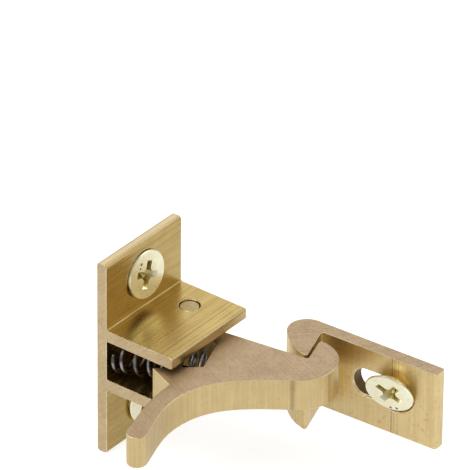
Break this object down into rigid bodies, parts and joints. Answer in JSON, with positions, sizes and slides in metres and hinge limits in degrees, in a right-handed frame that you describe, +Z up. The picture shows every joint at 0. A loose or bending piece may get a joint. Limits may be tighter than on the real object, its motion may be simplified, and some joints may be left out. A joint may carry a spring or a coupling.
{
  "type": "elbow catch with strike plate",
  "caption": "Elbow catch: a sprung, pivoting lever on a screw plate, with a hooked nose that holds behind the lip of a slotted strike plate.",
  "frame": {"origin": "middle of the catch plate's back face, which lies against the door or the frame", "axes": "+X out of the plate, +Y across the plate towards the strike, +Z up along the plate and along the lever's pin"},
  "size_m": [0.0482, 0.0445, 0.032],
  "materials": {
    "body_brass": "drawn, satin",
    "lever_brass": "sawn matt above and below, drawn at the sides",
    "pin_brass": "satin",
    "strike_brass": "sawn matt above and below, drawn at the sides",
    "screw_brass": "polished",
    "spring_steel": "dark"
  },
  "bodies": {
    "catch": {"catch_body": "body_brass", "pivot_pin": "pin_brass", "spring": "spring_steel", "strike": "strike_brass", "body_screw_upper": "screw_brass", "body_screw_lower": "screw_brass", "strike_screw": "screw_brass"},
    "lever": {"lever": "lever_brass"}
  },
  "joints": [
    {"name": "lever_swing", "type": "hinge", "parent": "catch", "child": "lever", "pos_m": [0.0068, 0.0041, 0], "axis": [0, 0, 1], "range_deg": [-18, 0], "stiffness_Nm_per_rad": 0.05, "springref_deg": 28.65, "deforming": ["spring"]}
  ]
}
